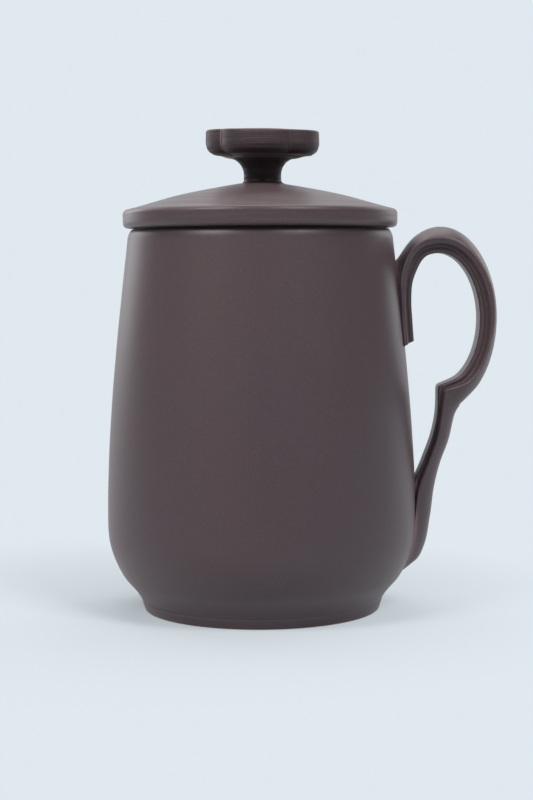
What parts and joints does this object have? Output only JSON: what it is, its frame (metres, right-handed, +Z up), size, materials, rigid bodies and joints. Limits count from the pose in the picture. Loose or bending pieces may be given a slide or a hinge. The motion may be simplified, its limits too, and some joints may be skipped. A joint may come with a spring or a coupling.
{
  "type": "lidded tea mug with infuser",
  "caption": "Unglazed clay mug with a bellied body and a looped side handle; a lift-off domed lid with a lobed knob covers a drop-in strainer cup for tea leaves.",
  "frame": {"origin": "centre of the foot ring's resting face, on the mug's axis", "axes": "+Z up the mug's axis, +X from the axis towards the handle, +Y to the far side when the handle is on the right"},
  "size_m": [0.1093, 0.0866, 0.1344],
  "materials": {
    "clay": "matte unglazed purple-brown stoneware, finely burnished"
  },
  "bodies": {
    "mug": {"mug_wall": "clay", "mug_base": "clay", "foot_ring": "clay", "handle": "clay"},
    "infuser": {"infuser_wall": "clay", "infuser_flange": "clay", "infuser_base": "clay"},
    "lid": {"lid_plate": "clay", "lid_collar": "clay", "lid_knob": "clay"}
  },
  "joints": [
    {"name": "infuser_lift", "type": "slide", "parent": "mug", "child": "infuser", "axis": [0, 0, 1], "range_m": [0, 0.075]},
    {"name": "lid_lift", "type": "slide", "parent": "infuser", "child": "lid", "axis": [0, 0, 1], "range_m": [0, 0.05]}
  ]
}
